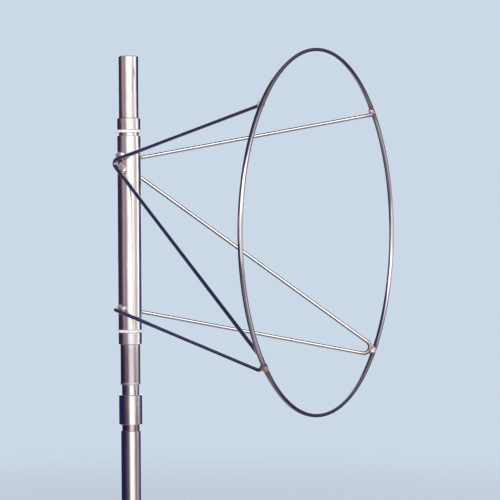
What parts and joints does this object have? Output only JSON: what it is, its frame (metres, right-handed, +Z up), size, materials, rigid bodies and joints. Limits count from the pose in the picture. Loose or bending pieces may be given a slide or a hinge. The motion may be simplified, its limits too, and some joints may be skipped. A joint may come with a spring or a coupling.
{
  "type": "loop antenna",
  "caption": "Round metal loop held upright in front of a mast by bent rods on a sleeve that swivels on the mast's spindle tube between stop collars.",
  "frame": {"origin": "on the mast's axis at the lower end of the lower mast tube", "axes": "+Z up along the mast's axis, +X from the mast to the loop's plane at rest, +Y to the loop's left as seen from the mast"},
  "size_m": [0.2815, 0.441, 0.6668],
  "materials": {
    "mast_steel": "polished along the tube, with a broad soft highlight",
    "rod_steel": "polished round bar",
    "spigot_steel": "turned",
    "weld_steel": "rippled weld, lightly heat-tinted",
    "screw_steel": "dull",
    "nylon": "satin white nylon"
  },
  "bodies": {
    "mast": {"lower_mast_tube": "mast_steel", "joint_spigot": "spigot_steel", "joint_collar": "mast_steel", "spindle_tube": "mast_steel", "lower_stop_collar": "mast_steel", "upper_stop_collar": "mast_steel", "lower_thrust_washer": "nylon", "upper_thrust_washer": "nylon", "collar_set_screws": "screw_steel", "tube_set_screws": "screw_steel"},
    "loop": {"swivel_sleeve": "mast_steel", "lower_bush": "nylon", "upper_bush": "nylon", "hoop_ring": "rod_steel", "right_strut": "rod_steel", "left_strut": "rod_steel", "sleeve_bend_welds": "weld_steel", "sleeve_end_welds": "weld_steel", "hoop_top_welds": "weld_steel", "hoop_bend_welds": "weld_steel"}
  },
  "joints": [
    {"name": "loop_swivel", "type": "hinge", "parent": "mast", "child": "loop", "pos_m": [0, 0, 0.44635], "axis": [0, 0, 1], "continuous": true}
  ]
}
